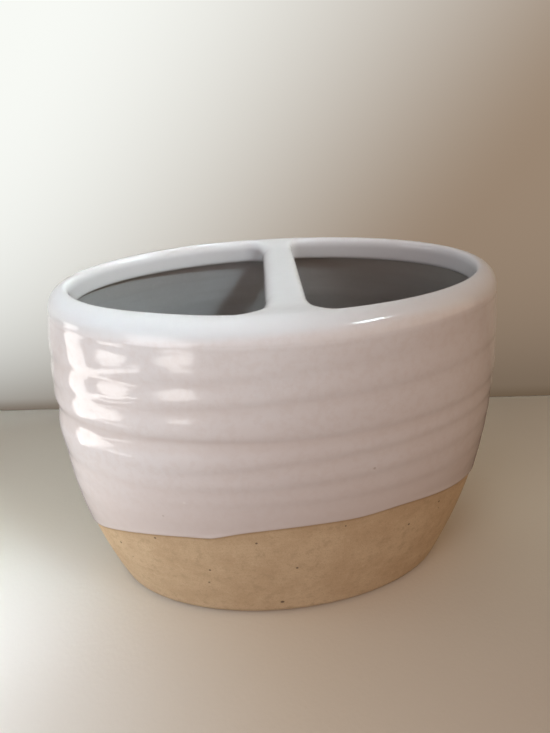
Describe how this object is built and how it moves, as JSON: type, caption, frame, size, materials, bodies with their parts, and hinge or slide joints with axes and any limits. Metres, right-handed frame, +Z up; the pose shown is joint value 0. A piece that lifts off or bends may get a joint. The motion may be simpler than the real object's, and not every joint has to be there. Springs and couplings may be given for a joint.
{
  "type": "toothbrush holder",
  "caption": "Oval stoneware toothbrush holder with a ringed, glazed body, a bare clay foot and a bridge that parts the mouth into two openings.",
  "frame": {"origin": "middle of the foot, on the surface that the holder stands on", "axes": "+Z up; +X along the oval, to the right in the picture; -Y to the front"},
  "size_m": [0.1178, 0.064, 0.092],
  "materials": {
    "bare_clay": "bare fired stoneware, sandy, with small dark specks",
    "outer_glaze": "glossy off-white glaze with a faint pink warmth",
    "inner_glaze": "glossy grey-white glaze"
  },
  "bodies": {
    "root": {"clay_foot_ring": "bare_clay", "clay_floor": "bare_clay", "clay_wall": "bare_clay", "clay_lip": "bare_clay", "clay_bridge": "bare_clay", "glaze_outside": "outer_glaze", "glaze_lip": "outer_glaze", "glaze_bridge": "outer_glaze", "glaze_inside": "inner_glaze"}
  },
  "joints": []
}
